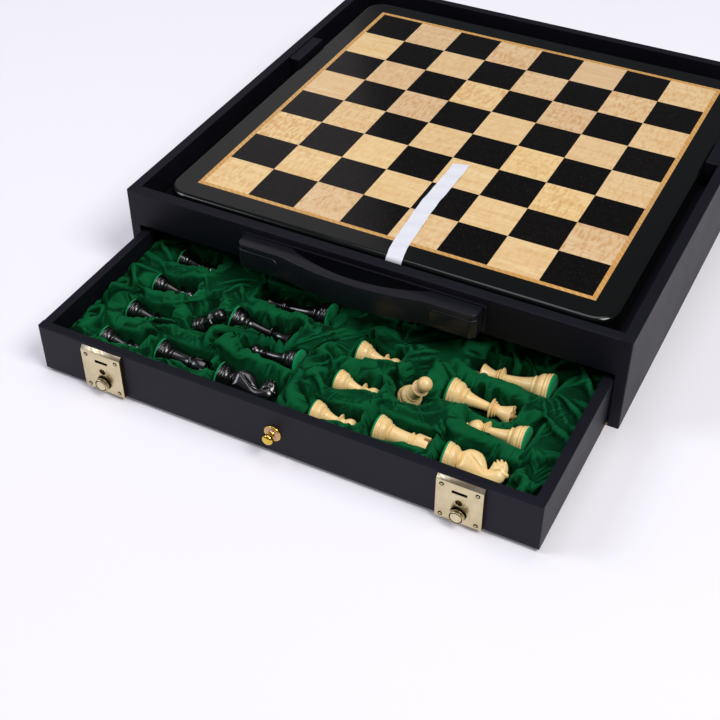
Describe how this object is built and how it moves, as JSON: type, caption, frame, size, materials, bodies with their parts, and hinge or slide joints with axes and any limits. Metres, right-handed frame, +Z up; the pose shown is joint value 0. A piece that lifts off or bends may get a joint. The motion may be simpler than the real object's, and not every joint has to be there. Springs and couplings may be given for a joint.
{
  "type": "chess box with drawer",
  "caption": "Square leatherette chess case with a loose inlaid board on top and a velvet-lined drawer that stores the chessmen, with a carrying handle and push-button locks.",
  "frame": {"origin": "centre of the case's flat underside", "axes": "+Z up, -Y out of the drawer's front, +X to the right seen from the front"},
  "size_m": [0.508, 0.685, 0.0985],
  "materials": {
    "black_leatherette": "fine-grained, satin",
    "plywood": "sanded",
    "black_plastic": "satin, moulded",
    "steel": "zinc plated",
    "black_lacquer": "high gloss lacquer",
    "maple": "polished",
    "maple_line": "polished",
    "ebony": "polished",
    "black_felt": "felt",
    "white_satin": "satin weave",
    "green_velvet": "short pile velvet",
    "polished_brass": "polished",
    "antique_brass": "brushed, antiqued",
    "ebonised_wood": "gloss",
    "boxwood": "satin lacquer",
    "green_felt": "felt"
  },
  "bodies": {
    "case": {"case_left_wall": "black_leatherette", "case_right_wall": "black_leatherette", "case_back_wall": "black_leatherette", "case_front_rail": "black_leatherette", "case_bottom": "plywood", "board_deck": "plywood", "deck_cleats": "plywood", "board_spacers": "black_leatherette", "drawer_stops": "plywood", "handle_backing_plate": "black_plastic", "handle_grip": "black_plastic", "handle_end_covers": "black_plastic", "handle_screws": "steel"},
    "board": {"board_base": "black_lacquer", "light_squares": "maple", "dark_squares": "ebony", "inlay_line": "maple_line", "board_pads": "black_felt", "lifting_ribbon": "white_satin"},
    "drawer": {"drawer_front": "black_leatherette", "drawer_left_side": "black_leatherette", "drawer_right_side": "black_leatherette", "drawer_back": "black_leatherette", "drawer_bottom": "plywood", "velvet_lining": "green_velvet", "drawer_knob": "polished_brass", "knob_screw": "steel", "lock_plates": "antique_brass", "lock_rivets": "antique_brass", "lock_bezels": "antique_brass", "lock_housings": "steel", "key_barrels": "antique_brass", "catch_spring_left": "steel", "catch_spring_right": "steel", "dark_king": "ebonised_wood", "dark_queen": "ebonised_wood", "dark_bishops": "ebonised_wood", "dark_knights": "ebonised_wood", "dark_rooks": "ebonised_wood", "dark_pawns": "ebonised_wood", "dark_base_felts": "green_felt", "light_king": "boxwood", "light_queen": "boxwood", "light_bishops": "boxwood", "light_knights": "boxwood", "light_rooks": "boxwood", "light_pawns": "boxwood", "light_base_felts": "green_felt"},
    "button_left": {"lock_button_left": "antique_brass"},
    "button_right": {"lock_button_right": "antique_brass"},
    "catch_left": {"lock_catch_left": "steel"},
    "catch_right": {"lock_catch_right": "steel"}
  },
  "joints": [
    {"name": "drawer_slide", "type": "slide", "parent": "case", "child": "drawer", "axis": [0, -1, 0], "range_m": [-0.164, 0.1]},
    {"name": "board_lift", "type": "slide", "parent": "case", "child": "board", "axis": [0, 0, 1], "range_m": [0, 0.06]},
    {"name": "button_left_press", "type": "slide", "parent": "drawer", "child": "button_left", "axis": [0, 1, 0], "range_m": [0, 0.003], "stiffness_N_per_m": 300, "springref_m": -0.003},
    {"name": "button_right_press", "type": "slide", "parent": "drawer", "child": "button_right", "axis": [0, 1, 0], "range_m": [0, 0.003], "stiffness_N_per_m": 300, "springref_m": -0.003},
    {"name": "catch_left_slide", "type": "slide", "parent": "drawer", "child": "catch_left", "axis": [0, 0, 1], "range_m": [0, 0.003], "deforming": ["catch_spring_left"]},
    {"name": "catch_right_slide", "type": "slide", "parent": "drawer", "child": "catch_right", "axis": [0, 0, 1], "range_m": [0, 0.003], "deforming": ["catch_spring_right"]}
  ],
  "couplings": [
    {"joint": "catch_left_slide", "follows": "button_left_press", "ratio": 1},
    {"joint": "catch_right_slide", "follows": "button_right_press", "ratio": 1}
  ]
}
